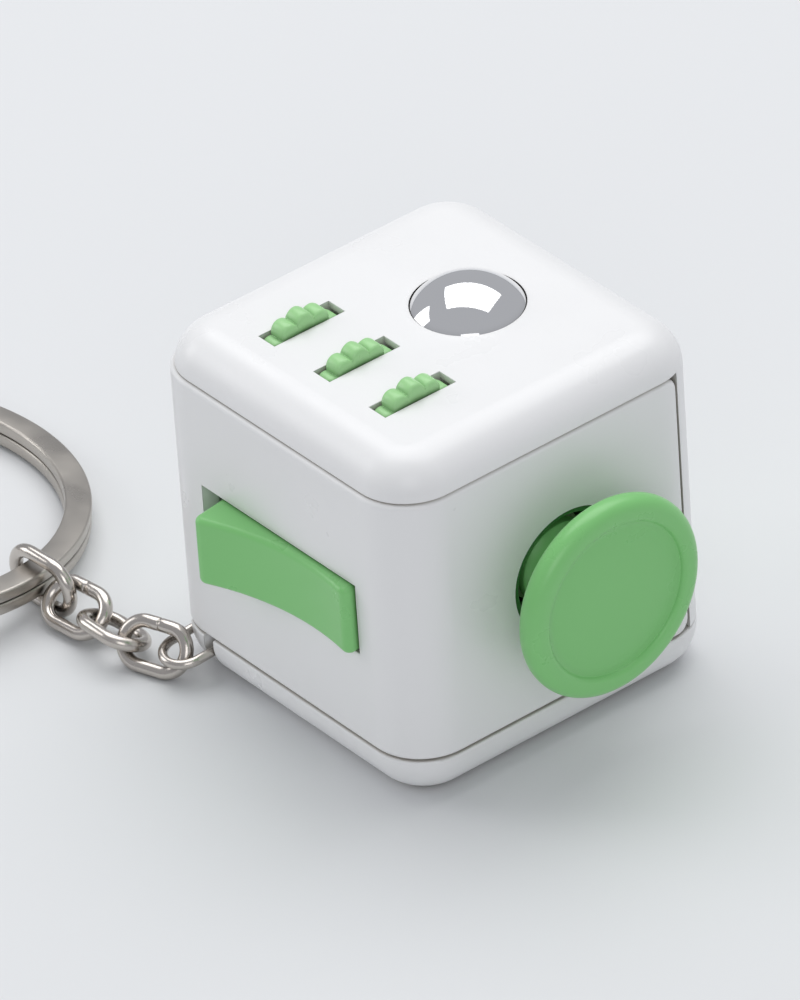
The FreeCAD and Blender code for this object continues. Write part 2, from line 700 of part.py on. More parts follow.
def joystick_cap():
    """disc with a raised rim on a stem"""
    back, front = "stick_cap_x", "stick_cap_x + stick_cap_thickness"
    floor = "stick_cap_x + stick_cap_thickness - stick_recess"
    rim = "stick_cap_radius - stick_rim_width"
    outline = [("0", "stick_pivot_x + dome_radius"), ("stick_stem_radius", "stick_pivot_x + dome_radius"),
               ("stick_stem_radius", back), ("stick_cap_radius", back), ("stick_cap_radius", front),
               (rim, front), (rim, floor), ("0", floor)]
    rounds = [("stick_cap_thickness / 2 - 0.06", lambda e: circle_at("stick_cap_radius", back)(e)
               or circle_at("stick_cap_radius", front)(e)),
              ("stick_recess * 0.8", circle_at(rim, front)),
              ("0.15", circle_at(rim, floor)),
              ("0.5", circle_at("stick_stem_radius", back))]
    return turned("joystick_cap", outline, STICK_AXIS_POINT, X_AXIS, rounds)


def joystick_stem():
    """ball with a cross pin, dust dome and the spigot that the cap is pressed on"""
    at = ("stick_pivot_x", "stick_y", "stick_z")
    ball = sphere("stick_ball_radius", at)
    pin = cylinder("stick_pin_radius", "2 * gimbal_outer - 0.1",
                   ("stick_pivot_x", "stick_y", "stick_z - gimbal_outer + 0.05"))
    shaft = cylinder("stick_stem_radius", "dome_radius", at, X_AXIS)
    tail = cylinder("0.7", "2.6", at, -X_AXIS)
    dome = common(cut(sphere("dome_radius", at), sphere("dome_radius - 0.35", at)),
                  cylinder("2.95", "dome_radius + 1", at, X_AXIS))
    dome = common(dome, cylinder("dome_radius + 1", "dome_radius", ("stick_pivot_x + 1.0", at[1], at[2]), X_AXIS))
    trim = cylinder("dome_radius", "1", ("stick_pivot_x + dome_radius", at[1], at[2]), X_AXIS)
    return node(cut(join(ball, pin, shaft, tail, dome), trim), "joystick_stem")


def joystick_retainer():
    """plate behind the socket, screwed to two posts"""
    outer, inner = "stick_pivot_x - stick_base", "stick_pivot_x - stick_base - %s" % PLATE
    plate = cylinder("5.05", PLATE, (inner, "stick_y", "stick_z"), X_AXIS)
    bar = block((inner, "stick_y - 7.2", "stick_z - 1.3"), (outer, "stick_y + 7.2", "stick_z + 1.3"))
    eye = cylinder("2.1", "3", ("stick_pivot_x - 3", "stick_y", "stick_z"), X_AXIS)
    return node(cut(join(plate, bar), eye, *clearance_bores("wrap", 2, 4)), "joystick_retainer")


def joystick_spring():
    """coil round the stem's tail that brings the stick back upright"""
    return coil("joystick_spring", "1.5", "0.18", ("stick_pivot_x - 3.9", "stick_y", "stick_z"), "1.7", 3, X_AXIS)


def joystick_spring_cup():
    """cap screwed over the retainer that the spring bears on"""
    outline = [("0", "stick_pivot_x - 4.3"), ("2.6", "stick_pivot_x - 4.3"), ("2.6", "stick_pivot_x - stick_base - %s" % PLATE),
               ("2.15", "stick_pivot_x - stick_base - %s" % PLATE), ("2.15", "stick_pivot_x - 3.9"), ("0", "stick_pivot_x - 3.9")]
    return turned("joystick_spring_cup", outline, STICK_AXIS_POINT, X_AXIS)


# ---------------------------------------------------------------- rocker

def rocker():
    """green paddle with a hollowed front, built square and then turned to its rest angle"""
    body = doc.addObject("PartDesign::Body", "Body")
    side, reach = "rocker_half_length", "rocker_reach"
    outline = [("-(%s)" % side, "-(%s)" % reach), (side, "-(%s)" % reach), (side, "-4.4"), ("1.5", "-0.4"),
               ("1.5", "1.6"), ("-1.5", "1.6"), ("-1.5", "-0.4"), ("-(%s)" % side, "-4.4")]
    pad = feature(body, "Pad", sketch_outline(body, "XY_Plane", outline), Length="rocker_height")
    pad.Midplane = True
    hollow_radius = "(rocker_half_length ^ 2 + rocker_hollow ^ 2) / (2 * rocker_hollow)"
    centre = ("0", "-(rocker_reach - rocker_hollow) - %s" % hollow_radius)
    hollow = feature(body, "Pocket", sketch_circle(body, "XY_Plane", hollow_radius, centre), Length="rocker_height * 2")
    hollow.Midplane = True
    bore = feature(body, "Pocket", sketch_circle(body, "XY_Plane", "rocker_pin_radius + play"), Length="rocker_height * 2")
    bore.Midplane = True
    body.Tip = bore
    reach_y, side_x = value(reach), value(side)
    body_rounded(body, "0.55", lambda e: is_upright(e) and abs(abs(e.CenterOfMass.x) - side_x) < 0.01
                 and e.CenterOfMass.y < -reach_y + 0.01)
    body_rounded(body, "0.4", lambda e: not is_upright(e) and e.BoundBox.YMin < -reach_y + 1.3
                 and e.CenterOfMass.y < -5.5)
    body.Placement = FreeCAD.Placement(Vector(), FreeCAD.Rotation(Z_AXIS, value("rocker_tilt")))
    bind(body, Placement__Base__y="rocker_pivot_y", Placement__Base__z="rocker_z")
    return node(body, "rocker")


def rocker_pin():
    pin = cylinder("rocker_pin_radius", "rocker_height + 2.6", ("0", "rocker_pivot_y", "rocker_z - rocker_height / 2 - 1.3"))
    return node(pin, "rocker_pin")


def rocker_frame():
    """frame behind the -Y wall with the ears that hold the rocker's pin"""
    low, high = "rocker_z - rocker_slot_height / 2", "rocker_z + rocker_slot_height / 2"
    plate = block(("-10.2", "-9.8", "rocker_z - 4"), ("10.2", "-9.8 + %s" % PLATE, "rocker_z + 4"))
    window = block(("-8.0", "-12", "%s - 0.15" % low), ("8.0", "-8", "%s + 0.15" % high))
    spine = block(("-2.2", "-9.5", "rocker_z - 4"), ("2.2", "-2.7", "rocker_z + 4"))
    room = block(("-3", "-12", low), ("3", "-3.6", high))
    pin_bore = cylinder("rocker_pin_radius", "rocker_height + 2.6",
                        ("0", "rocker_pivot_y", "rocker_z - rocker_height / 2 - 1.3"))
    frame = cut(join(plate, spine), window, room, pin_bore, *clearance_bores("wrap", 0, 2))
    return node(frame, "rocker_frame")


def rocker_click_spring():
    """leaf with a ridge that the rocker's tail snaps past"""
    leaf = block(("-1.9", "-3.8", "rocker_z - 2"), ("1.9", "-3.6", "rocker_z + 2"))
    ridge = cylinder("0.3", "4", ("0", "-3.75", "rocker_z - 2"))
    behind = block(("-3", "-3.6", "rocker_z - 3"), ("3", "-3", "rocker_z + 3"))
    return node(cut(join(leaf, ridge), behind), "rocker_click_spring")


# ---------------------------------------------------------------- push buttons

def push_button(name, y, z):
    """domed button with a flange inside the -X wall"""
    back = "%s - 0.15 - 0.55" % INNER
    outline = [("0", "%s - 0.6" % back), ("0.9", "%s - 0.6" % back), ("0.9", back), ("button_flange_radius", back),
               ("button_flange_radius", "%s - 0.15" % INNER), ("button_radius", "%s - 0.15" % INNER),
               ("button_radius", "%s + button_proud" % HALF), ("0", "%s + button_proud" % HALF)]
    rounds = [("0.7", circle_at("button_radius", "%s + button_proud" % HALF))]
    return turned("button_" + name, outline, ("0", y, z), -X_AXIS, rounds)


def button_springs():
    """one small coil under each button"""
    back = "-(%s - 0.15 - 0.55)" % INNER
    for name, (y, z) in BUTTON_PLACES.items():
        coil("button_spring_" + name, "1.25", "0.13", (back, y, z), "button_plate_x - (%s)" % back, 4, X_AXIS)


def button_plate():
    low_x, high_x = "button_plate_x", "button_plate_x + button_plate_thickness"
    span = "button_spread + 2.4"
    plate = block((low_x, "-(%s)" % span, "button_row_z - (%s)" % span), (high_x, span, "button_row_z + %s" % span))
    return node(cut(plate, *clearance_bores("wrap", 4, 6)), "button_plate")


# ---------------------------------------------------------------- dial

DIAL_AXIS_POINT = ("0", "0", "dial_z")


def spin_dial():
    """disc with a finger dimple, and the hub that turns in the cage"""
    outline = [("0", "9.0"), ("dial_hub_radius - 0.45", "9.0"), ("dial_hub_radius - 0.45", "9.4"),
               ("dial_hub_radius", "9.4"), ("dial_hub_radius", "%s + 0.15" % INNER),
               ("dial_radius", "%s + 0.15" % INNER), ("dial_radius", "%s + dial_proud" % HALF),
               ("0", "%s + dial_proud" % HALF)]
    disc = turned(None, outline, DIAL_AXIS_POINT, Y_AXIS, [("0.4", circle_at("dial_radius", "%s + dial_proud" % HALF))])
    dimple = sphere("2.2", ("0", "%s + dial_proud + 1.6" % HALF, "dial_z + 3.1"))
    dents = []
    for i in range(12):
        angle = "%d * 30 deg" % i
        dents.append(sphere("0.55", ("3.7 * sin(%s)" % angle, "%s + 0.15 - 0.3" % INNER, "dial_z + 3.7 * cos(%s)" % angle)))
    return node(cut(disc, dimple, *dents), "spin_dial")


def dial_cage():
    """plate screwed inside the +Y wall; the dial's hub turns in it"""
    plate = cylinder("6.2", "0.7", ("0", "9.5", "dial_z"), Y_AXIS)
    bar = block(("-8.2", "9.5", "dial_z - 1.2"), ("8.2", "10.2", "dial_z + 1.2"))
    boss = cylinder("1.0", "0.7", ("0", "10.2", "dial_z + 3.7"), Y_AXIS)
    hub_bore = cylinder("dial_hub_radius + play", "3", ("0", "9", "dial_z"), Y_AXIS)
    ball_pocket = cylinder("0.55", "3", ("0", "9.9", "dial_z + 3.7"), Y_AXIS)
    return node(cut(join(plate, bar, boss), hub_bore, ball_pocket, *clearance_bores("cover", 4, 6)), "dial_cage")


def dial_clip():
    """push-on clip that keeps the dial's hub in the cage"""
    ring = cut(cylinder("2.4", "0.4", ("0", "9.0", "dial_z"), Y_AXIS),
               cylinder("dial_hub_radius - 0.45", "0.4", ("0", "9.0", "dial_z"), Y_AXIS))
    return node(ring, "dial_clip")


def dial_click():
    ball = sphere("0.48", ("0", "%s - 0.4" % INNER, "dial_z + 3.7"))
    node(ball, "dial_click_ball")
    return coil("dial_click_spring", "0.3", "0.07", ("0", "9.9", "dial_z + 3.7"), "0.4", 2, Y_AXIS)


# ---------------------------------------------------------------- key chain

# each link as it lies: the middle, then the heading and the roll about it in degrees, and its size
LINKS = [
    (Vector(-11.62, -14.31, 1.68), 199.5, -55.4, "link"),
    (Vector(-15.02, -14.97, 1.55), 180.6, 23.7, "link"),
    (Vector(-18.55, -15.23, 1.64), 186.6, -40.5, "link"),
    (Vector(-21.76, -15.39, 2.23), 183.1, 88.2, "end_link"),
]
RING_HEADING = 196.0
RING_GAP = 0.7


def key_loop():
    """wire bow whose turned-out ends pivot in the base plate"""
    legs = []
    reach = "loop_reach"
    for side in (-1, 1):
        legs.append(cylinder("loop_wire", reach, ("0", "%d * loop_half_width" % side, "0"), X_AXIS))
        foot = cylinder("loop_wire", "0.7", ("0", "%d * loop_half_width" % side, "0"), Y_AXIS * side)
        legs += [foot, sphere("loop_wire", ("0", "%d * loop_half_width" % side, "0"))]
    bow = doc.addObject("Part::Torus", "Bow")
    bind(bow, Radius1="loop_half_width", Radius2="loop_wire", Angle3="180")
    put(bow, (reach, "0", "0"))
    bow.Placement = FreeCAD.Placement(Vector(), FreeCAD.Rotation(Z_AXIS, -90))
    bind(bow, Placement__Base__x=reach)
    loop = join(*legs, bow)
    at = [value(text) for text in corner_place("loop_pivot_out", "0", "loop_pivot_z")]
    loop.Placement = FreeCAD.Placement(Vector(*at), loop_turn(value("loop_droop")))
    return node(loop, "key_loop")


def half_length(size):
    return value("link_straight / 2 + %s_radius" % ("link_end" if size == "link" else "end_link_end"))


def heading_vector(degrees):
    return Vector(math.cos(math.radians(degrees)), math.sin(math.radians(degrees)), 0)


def chain_link(name, centre, heading, roll, size):
    """oval of round wire: two straights and two half rings"""
    end_radius = "link_end_radius" if size == "link" else "end_link_end_radius"
    pieces = []
    for side in (-1, 1):
        pieces.append(cylinder("link_wire", "link_straight",
                               ("-link_straight / 2", "%d * %s" % (side, end_radius), "0"), X_AXIS))
        half_ring = doc.addObject("Part::Torus", "HalfRing")
        bind(half_ring, Radius1=end_radius, Radius2="link_wire", Angle3="180")
        half_ring.Placement = FreeCAD.Placement(Vector(), FreeCAD.Rotation(Z_AXIS, -90 * side))
        bind(half_ring, Placement__Base__x="%d * link_straight / 2" % side)
        pieces.append(half_ring)
    oval = join(*pieces)
    turn = FreeCAD.Rotation(Z_AXIS, heading).multiply(FreeCAD.Rotation(X_AXIS, roll))
    oval.Placement = FreeCAD.Placement(centre, turn)
    return node(oval, name)


def ring_centre():
    """middle of the split ring: the last link hooks round the inside of its band"""
    last_middle, heading, roll, size = LINKS[-1]
    inside = value("ring_radius - ring_width - link_wire") - RING_GAP
    centre = last_middle + heading_vector(RING_HEADING) * (inside + half_length(size))
    centre.z = value("ring_height") / 2 + value("ring_radius") * math.sin(math.radians(value("ring_tilt")))
    return centre


def split_ring():
    """two flat coils, shown as one band with the groove between them"""
    band = cut(cylinder("ring_radius", "ring_height", ("0", "0", "-ring_height / 2")),
               cylinder("ring_radius - ring_width", "ring_height", ("0", "0", "-ring_height / 2")))
    groove = cut(cylinder("ring_radius + 1", "2 * ring_groove / 3", ("0", "0", "-ring_groove / 3")),
                 cylinder("ring_radius - ring_groove", "2 * ring_groove / 3", ("0", "0", "-ring_groove / 3")))
    ring = cut(band, groove)
    lean = FreeCAD.Rotation(X_AXIS, -value("ring_tilt"))
    ring.Placement = FreeCAD.Placement(ring_centre(), lean)
    return node(ring, "split_ring")


def key_chain():
    key_loop()
    for number, (middle, heading, roll, size) in enumerate(LINKS, start=1):
        chain_link("chain_link_%d" % number, middle, heading, roll, size)
    split_ring()


# ---------------------------------------------------------------- build and write

def build():
    wrap_shell()
    cover_shell()
    base_plate()
    for side, x in WHEEL_X.items():
        thumb_wheel("thumb_wheel_" + side, x)
    for make in (wheel_axle, wheel_spacers, axle_bracket, wheel_click_spring,
                 roll_ball, ball_seat, ball_spring, ball_guide,
                 joystick_socket, joystick_gimbal, joystick_stem, joystick_cap, joystick_retainer,
                 joystick_spring, joystick_spring_cup,
                 rocker, rocker_pin, rocker_frame, rocker_click_spring):
        make()
    for name, (y, z) in BUTTON_PLACES.items():
        push_button(name, y, z)
    for make in (button_springs, button_plate, spin_dial, dial_cage, dial_clip, dial_click,
                 key_chain, module_screws):
        make()


def check():
    """stop unless every object computed and every sub-part is a valid shape"""
    for obj in doc.Objects:
        if "Invalid" in obj.State or "Error" in obj.State:
            raise RuntimeError("%s (%s) failed: %s" % (obj.Name, obj.Label, obj.State))
    for obj in NODES:
        if obj.Shape.isNull() or not obj.Shape.isValid():
            raise RuntimeError("sub-part %s has no valid shape" % obj.Label)


def write():
    os.makedirs("parts", exist_ok=True)
    for obj in NODES:
        obj.Shape.exportStep("parts/%s.step" % obj.Label)
        print("%-26s solids %d  volume %9.2f" % (obj.Label, len(obj.Shape.Solids), obj.Shape.Volume))


build()
doc.recompute()
check()
write()
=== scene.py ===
import json
import math
import bpy
from mathutils import Euler, Matrix, Vector


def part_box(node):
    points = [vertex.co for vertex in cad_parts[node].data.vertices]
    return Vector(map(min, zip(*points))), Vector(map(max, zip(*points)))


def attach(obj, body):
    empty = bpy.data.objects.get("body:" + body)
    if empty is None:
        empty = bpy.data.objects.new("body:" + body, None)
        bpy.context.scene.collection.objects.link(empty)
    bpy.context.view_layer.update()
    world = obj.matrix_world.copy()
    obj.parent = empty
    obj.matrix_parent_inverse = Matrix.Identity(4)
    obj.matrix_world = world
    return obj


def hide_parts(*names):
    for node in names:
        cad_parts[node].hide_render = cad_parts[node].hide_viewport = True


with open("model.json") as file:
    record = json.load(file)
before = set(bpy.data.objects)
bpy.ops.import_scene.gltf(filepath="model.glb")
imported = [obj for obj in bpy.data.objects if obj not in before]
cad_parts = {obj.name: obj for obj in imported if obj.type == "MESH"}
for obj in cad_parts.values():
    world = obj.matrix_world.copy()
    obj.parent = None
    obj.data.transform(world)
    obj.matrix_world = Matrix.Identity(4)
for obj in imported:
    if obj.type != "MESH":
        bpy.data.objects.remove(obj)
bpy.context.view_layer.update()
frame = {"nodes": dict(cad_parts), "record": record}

MM = 0.001
CUBE_MIDDLE = Vector((0.0, 0.0, 12.5 * MM))


# ---------------------------------------------------------------- materials

class Finish:
    """a principled material whose nodes are added one after another"""

    def __init__(self, name, colour, roughness, metallic=0.0):
        self.material = bpy.data.materials.new(name)
        self.material.use_nodes = True
        self.tree = self.material.node_tree
        self.shader = self.tree.nodes["Principled BSDF"]
        self.shader.inputs["Base Color"].default_value = (*colour, 1.0)
        self.shader.inputs["Roughness"].default_value = roughness
        self.shader.inputs["Metallic"].default_value = metallic
        self.colour = colour
        self.place = self.tree.nodes.new("ShaderNodeTexCoord").outputs["Object"]
        self.edge = self.tree.nodes.new("ShaderNodeBevel")
        self.edge.inputs["Radius"].default_value = 0.12 * MM
        self.tree.links.new(self.edge.outputs["Normal"], self.shader.inputs["Normal"])

    def noise(self, scale, detail=4.0):
        node = self.tree.nodes.new("ShaderNodeTexNoise")
        node.inputs["Scale"].default_value = scale
        node.inputs["Detail"].default_value = detail
        self.tree.links.new(self.place, node.inputs["Vector"])
        return node.outputs["Fac"]

    def spread(self, source, low, high):
        """map the middle of a texture's range to low..high"""
        node = self.tree.nodes.new("ShaderNodeMapRange")
        node.inputs["From Min"].default_value = 0.3
        node.inputs["From Max"].default_value = 0.7
        node.inputs["To Min"].default_value = low
        node.inputs["To Max"].default_value = high
        self.tree.links.new(source, node.inputs["Value"])
        return node.outputs["Result"]

    def uneven_roughness(self, scale, low, high):
        self.tree.links.new(self.spread(self.noise(scale), low, high), self.shader.inputs["Roughness"])

    def bump(self, scale, height, detail=6.0):
        node = self.tree.nodes.new("ShaderNodeBump")
        node.inputs["Strength"].default_value = 0.35
        node.inputs["Distance"].default_value = height
        self.tree.links.new(self.noise(scale, detail), node.inputs["Height"])
        self.tree.links.new(self.edge.outputs["Normal"], node.inputs["Normal"])
        self.tree.links.new(node.outputs["Normal"], self.shader.inputs["Normal"])

    def edge_mask_for_painted_highlight(self):
        """1 where the rounded normal leaves the surface's own normal, at edges, and 0 on flats; the mask for
        the painted highlight on edges
        """
        geometry = self.tree.nodes.new("ShaderNodeNewGeometry")
        likeness = self.tree.nodes.new("ShaderNodeVectorMath")
        likeness.operation = "DOT_PRODUCT"
        self.tree.links.new(geometry.outputs["Normal"], likeness.inputs[0])
        self.tree.links.new(self.edge.outputs["Normal"], likeness.inputs[1])
        amount = self.tree.nodes.new("ShaderNodeMapRange")
        amount.inputs["From Min"].default_value = 0.995
        amount.inputs["From Max"].default_value = 0.9
        amount.inputs["To Min"].default_value = 0.0
        amount.inputs["To Max"].default_value = 1.0
        self.tree.links.new(likeness.outputs["Value"], amount.inputs["Value"])
        return amount.outputs["Result"]

    def occlusion_for_painted_shade(self):
        """ambient occlusion, 1 in the open and less in gaps and hollows; the mask for the painted shade in
        crevices
        """
        node = self.tree.nodes.new("ShaderNodeAmbientOcclusion")
        node.samples = 4
        node.inputs["Distance"].default_value = 0.5 * MM
        return node.outputs["AO"]

    def mixed(self, factor, first, second):
        """one colour fading to another; the first may be a colour or an output"""
        node = self.tree.nodes.new("ShaderNodeMix")
        node.data_type = "RGBA"
        colours = [socket for socket in node.inputs if socket.type == "RGBA"]
        for socket, wanted in zip(colours, (first, second)):
            if isinstance(wanted, tuple):
                socket.default_value = (*wanted, 1.0)
            else:
                self.tree.links.new(wanted, socket)
        self.tree.links.new(factor, node.inputs["Factor"])
        return [output for output in node.outputs if output.type == "RGBA"][0]

    def paint_edge_highlight_and_crevice_shade(self, highlight_colour, shade_colour):
        """painted highlight on sharp edges and painted shade in crevices, both mixed into the base colour"""
        # painted shade: ambient occlusion darkens the colour in gaps and hollows, then edges get a painted
        # highlight
        crevice_shaded = self.mixed(self.occlusion_for_painted_shade(), shade_colour, self.colour)
        edge_highlighted = self.mixed(self.edge_mask_for_painted_highlight(), crevice_shaded, highlight_colour)
        self.tree.links.new(edge_highlighted, self.shader.inputs["Base Color"])


def white_plastic():
    finish = Finish("White_ABS", (0.86, 0.86, 0.86), 0.3)
    # painted highlight on edges and brownish painted shade in gaps and seams
    finish.paint_edge_highlight_and_crevice_shade((0.88, 0.88, 0.88), (0.50, 0.47, 0.42))
    finish.uneven_roughness(180.0, 0.26, 0.38)
    finish.bump(2600.0, 0.006 * MM)
    finish.shader.inputs["Subsurface Weight"].default_value = 0.15
    finish.shader.inputs["Subsurface Radius"].default_value = (1.2 * MM, 1.2 * MM, 1.2 * MM)
    return finish.material


def green_plastic(name, colour):
    finish = Finish(name, colour, 0.3)
    # lighter copy of the colour for the painted highlight on edges, darker copy for the painted shade in
    # crevices
    painted_highlight = tuple(min(1.0, 1.25 * part + 0.03) for part in colour)
    painted_shade = tuple(0.55 * part for part in colour)
    finish.paint_edge_highlight_and_crevice_shade(painted_highlight, painted_shade)
    finish.uneven_roughness(240.0, 0.24, 0.38)
    finish.bump(3000.0, 0.006 * MM)
    return finish.material


def metal(name, colour, low, high, grain, height):
    finish = Finish(name, colour, low, 1.0)
    # lighter copy of the colour for the painted highlight on edges, darker copy for the painted shade in
    # crevices
    painted_highlight = tuple(min(1.0, 1.15 * part) for part in colour)
    painted_shade = tuple(0.45 * part for part in colour)
    finish.paint_edge_highlight_and_crevice_shade(painted_highlight, painted_shade)
    finish.uneven_roughness(grain / 5, low, high)
    finish.bump(grain, height)
    return finish.material


WHITE = white_plastic()
GREEN = green_plastic("Green_ABS", (0.23, 0.60, 0.20))
PALE_GREEN = green_plastic("Pale_green_ABS", (0.36, 0.68, 0.30))
# green plastic darkened for the painted shade inside the joystick socket hole
SHADED_GREEN = green_plastic("Socket_green_painted_shade", (0.035, 0.17, 0.035))
INNER = green_plastic("Inner_ABS", (0.60, 0.62, 0.50))
MIRROR = metal("Mirror_steel", (0.90, 0.90, 0.91), 0.015, 0.04, 400.0, 0.0005 * MM)
NICKEL = metal("Nickel_plate", (0.58, 0.54, 0.50), 0.14, 0.26, 900.0, 0.004 * MM)
RING_STEEL = metal("Ring_steel", (0.50, 0.47, 0.43), 0.26, 0.42, 1600.0, 0.006 * MM)
SPRING = metal("Spring_steel", (0.5, 0.5, 0.5), 0.25, 0.4, 1500.0, 0.004 * MM)

SLOT_MATERIALS = {
    "white_shell": WHITE,
    "green_plastic": GREEN,
    "inner_plastic": INNER,
    "polished_steel": MIRROR,
    "nickel_plate": NICKEL,
    "spring_steel": SPRING,
}


def dress_packed_nodes():
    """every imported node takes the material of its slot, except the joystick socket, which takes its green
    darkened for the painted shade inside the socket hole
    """
    own = {"joystick_socket": SHADED_GREEN}
    for part in frame["record"]["subparts"]:
        node = frame["nodes"][part["node"]]
        material = own.get(part["node"], SLOT_MATERIALS[part["material_slot"]])
        for slot in node.material_slots:
            slot.material = material
        if not node.material_slots:
            node.data.materials.append(material)


# ---------------------------------------------------------------- mesh helpers

def middle_of(node):
    low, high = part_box(node)
    return (low + high) / 2


def mesh_piece(name, points, faces, material, body, nodes):
    """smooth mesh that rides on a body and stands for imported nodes"""
    mesh = bpy.data.meshes.new(name)
    mesh.from_pydata([tuple(point) for point in points], [], faces)
    mesh.materials.append(material)
    mesh.validate()
    mesh.update()
    piece = bpy.data.objects.new(name, mesh)
    bpy.context.scene.collection.objects.link(piece)
    bpy.context.view_layer.objects.active = piece
    piece.select_set(True)
    bpy.ops.object.mode_set(mode="EDIT")
    bpy.ops.mesh.select_all(action="SELECT")
    bpy.ops.mesh.normals_make_consistent(inside=False)
    bpy.ops.object.mode_set(mode="OBJECT")
    bpy.ops.object.shade_smooth_by_angle(angle=math.radians(40))
    piece.select_set(False)
    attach(piece, body)
    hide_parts(*nodes)
    return piece


def bridge(rings, cap_ends=False, join_ends=False):
    """points and faces of a skin over rings that all have the same number of points"""
    count = len(rings[0])
    points = [point for ring in rings for point in ring]
    faces = []
    last = len(rings) if join_ends else len(rings) - 1
    for row in range(last):
        below = row * count
        above = ((row + 1) % len(rings)) * count
        for i in range(count):
            j = (i + 1) % count
            faces.append((below + i, below + j, above + j, above + i))
    if cap_ends:
        faces.append(tuple(range(count)))
        faces.append(tuple(range(len(points) - count, len(points))))
    return points, faces


def revolve(profile, centre, turn, segments=128):
    """skin of (radius, height) points turned about an axis; turn maps Z to that axis"""
    rings = []
    for radius, height in profile:
        ring = []
        for i in range(segments):
            angle = 2 * math.pi * i / segments
            ring.append(centre + turn @ Vector((radius * math.cos(angle), radius * math.sin(angle), height)))
        rings.append(ring)
    return bridge(rings, cap_ends=True)


def corner(centre, radius, start, end, steps=8):
    """points on an arc of a profile, angles in degrees"""
    arc = []
    for i in range(steps + 1):
        angle = math.radians(start + (end - start) * i / steps)
        arc.append((centre[0] + radius * math.cos(angle), centre[1] + radius * math.sin(angle)))
    return arc


# ---------------------------------------------------------------- controls

TO_PLUS_X = Euler((0.0, math.radians(90.0), 0.0)).to_matrix()


def joystick_cap():
    """disc with a soft raised rim and a shallow floor, on its stem, with the gate mark near the top"""
    low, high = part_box("joystick_cap")
    centre = Vector((0.0, (low.y + high.y) / 2, (low.z + high.z) / 2))
    radius = (high.y - low.y) / 2
    front = high.x
    back = front - 1.8 * MM
    edge = 0.85 * MM
    stem = 1.3 * MM
    rim = 1.6 * MM
    recess = 0.5 * MM
    profile = [(0.05 * MM, low.x), (stem, low.x), (stem, back - 0.4 * MM), (stem + 0.4 * MM, back)]
    profile += corner((radius - edge, back + edge), edge, -90, 0)
    profile += corner((radius - edge, front - edge), edge, 0, 90)
    profile += corner((radius - rim + 0.4 * MM, front - 0.4 * MM), 0.4 * MM, 90, 170)
    profile.append((radius - rim - 0.25 * MM, front - recess + 0.01 * MM))
    floor_radius = radius - rim - 0.6 * MM
    floor_rings = 16
    for i in range(floor_rings):
        share = 1 - i / floor_rings
        profile.append((floor_radius * share, front - recess + 0.08 * MM * (1 - share * share)))
    points, faces = revolve(profile, centre, TO_PLUS_X)
    mesh_piece("Joystick_cap", points, faces, GREEN, "joystick", ["joystick_cap"])
    gate = [(0.02 * MM, -0.1 * MM), (0.3 * MM, -0.1 * MM), (0.27 * MM, 0.03 * MM), (0.12 * MM, 0.05 * MM),
            (0.02 * MM, 0.02 * MM)]
    place = Vector((front - 0.06 * MM, centre.y, centre.z + radius - 0.9 * MM))
    points, faces = revolve(gate, place, TO_PLUS_X, 24)
    mesh_piece("Joystick_gate_mark", points, faces, GREEN, "joystick", [])


def turned_point(centre, x, reach, angle):
    """point at a distance from an axis that runs along X, in millimetres about the centre"""
    return centre + Vector((x, reach * math.cos(angle), reach * math.sin(angle))) * MM


WHEEL_THICKNESS = 1.35
LOBE_COUNT = 12
LOBE_ROOT = 2.66
LOBE_HEIGHT = 0.47
LOBE_SOFTNESS = 0.75


def wheel(side):
    """soft lobes round a hub, with the sides dished between them"""
    node = "thumb_wheel_" + side
    centre = middle_of(node)
    half = WHEEL_THICKNESS / 2
    lobed = [(-half, 0.34), (0.03 - half, 0.16), (0.12 - half, 0.05), (0.3 - half, 0.0)]
    lobed += [(-x, inset) for x, inset in reversed(lobed)]
    dished = [(half, 2.0), (half - 0.12, 1.8), (half - 0.12, 1.2), (half, 1.03), (1.13, 1.0), (1.13, 0.57)]
    dished += [(-x, reach) for x, reach in reversed(dished)]
    segments = 240
    rings = []
    for x, inset in lobed:
        ring = []
        for i in range(segments):
            angle = 2 * math.pi * i / segments
            wave = abs(math.cos(LOBE_COUNT / 2 * angle)) ** LOBE_SOFTNESS
            ring.append(turned_point(centre, x, LOBE_ROOT + LOBE_HEIGHT * wave - inset, angle))
        rings.append(ring)
    for x, reach in dished:
        ring = []
        for i in range(segments):
            angle = 2 * math.pi * i / segments
            ring.append(turned_point(centre, x, reach, angle))
        rings.append(ring)
    points, faces = bridge(rings, join_ends=True)
    mesh_piece("Wheel_" + side, points, faces, PALE_GREEN, "wheel_" + side, [node])


def roll_ball():
    """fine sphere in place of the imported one"""
    centre = middle_of("roll_ball")
    low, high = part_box("roll_ball")
    radius = (high.z - low.z) / 2
    profile = corner((0.0, 0.0), radius, -89.7, 89.7, 96)
    points, faces = revolve(profile, centre, Matrix.Identity(3), 160)
    mesh_piece("Ball", points, faces, MIRROR, "ball", ["roll_ball"])


# ---------------------------------------------------------------- key chain

LINKS = {
    "chain_link_1": (199.5, -55.4, 1.45),
    "chain_link_2": (180.6, 23.7, 1.45),
    "chain_link_3": (186.6, -40.5, 1.45),
    "chain_link_4": (183.1, 88.2, 1.75),
}
LINK_WIRE = 0.46
LINK_STRAIGHT = 1.76


def oval_path(end_radius, steps=28):
    """closed centre line of a link, millimetres, with its length along X"""
    path = []
    for side in (1, -1):
        for i in range(steps):
            angle = math.radians(-90 + 180 * i / (steps - 1))
            path.append(Vector((side * (LINK_STRAIGHT / 2 + end_radius * math.cos(angle)),
                                side * end_radius * math.sin(angle), 0.0)))
    return path


